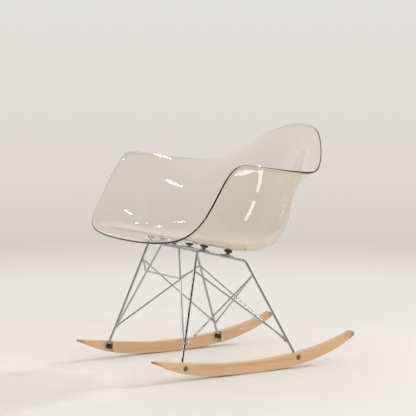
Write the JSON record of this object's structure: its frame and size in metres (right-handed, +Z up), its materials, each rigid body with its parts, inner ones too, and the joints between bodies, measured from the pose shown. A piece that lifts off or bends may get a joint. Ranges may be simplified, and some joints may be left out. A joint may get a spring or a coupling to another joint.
{
  "type": "rocking chair",
  "caption": "Rocking armchair with a translucent moulded bucket seat on a chromed wire base and curved wooden rockers.",
  "frame": {"origin": "on the floor, below the middle of the chair's length and width", "axes": "+Z up, the sitter faces -Y, +X is the sitter's left"},
  "size_m": [0.6288, 0.6801, 0.687],
  "materials": {
    "tinted_shell": "translucent, glossy",
    "chromed_rod": "polished",
    "chromed_plate": "polished, with a fine brushed grain",
    "zinc_steel": "satin",
    "brass": "dull",
    "black_rubber": "matte",
    "beech": "satin varnish",
    "black_cap": "satin"
  },
  "bodies": {
    "root": {"side_rod_left": "chromed_rod", "side_brace_left": "chromed_rod", "rocker_left": "beech", "eye_front_left": "chromed_rod", "eye_rear_left": "chromed_rod", "tab_side_front_left": "chromed_plate", "spacer_side_front_left": "brass", "pad_side_front_left": "black_rubber", "tab_side_rear_left": "chromed_plate", "spacer_side_rear_left": "brass", "pad_side_rear_left": "black_rubber", "tab_cross_left": "chromed_plate", "spacer_cross_left": "brass", "pad_cross_left": "black_rubber", "side_rod_right": "chromed_rod", "side_brace_right": "chromed_rod", "rocker_right": "beech", "eye_front_right": "chromed_rod", "eye_rear_right": "chromed_rod", "tab_side_front_right": "chromed_plate", "spacer_side_front_right": "brass", "pad_side_front_right": "black_rubber", "tab_side_rear_right": "chromed_plate", "spacer_side_rear_right": "brass", "pad_side_rear_right": "black_rubber", "tab_cross_right": "chromed_plate", "spacer_cross_right": "brass", "pad_cross_right": "black_rubber", "front_rod": "chromed_rod", "cross_rod": "chromed_rod", "front_brace": "chromed_rod", "seat_shell": "tinted_shell", "mount_screws": "zinc_steel", "mount_inserts": "brass", "rocker_bolts": "zinc_steel", "bolt_washers": "zinc_steel", "cap_nuts": "black_cap"}
  },
  "joints": []
}
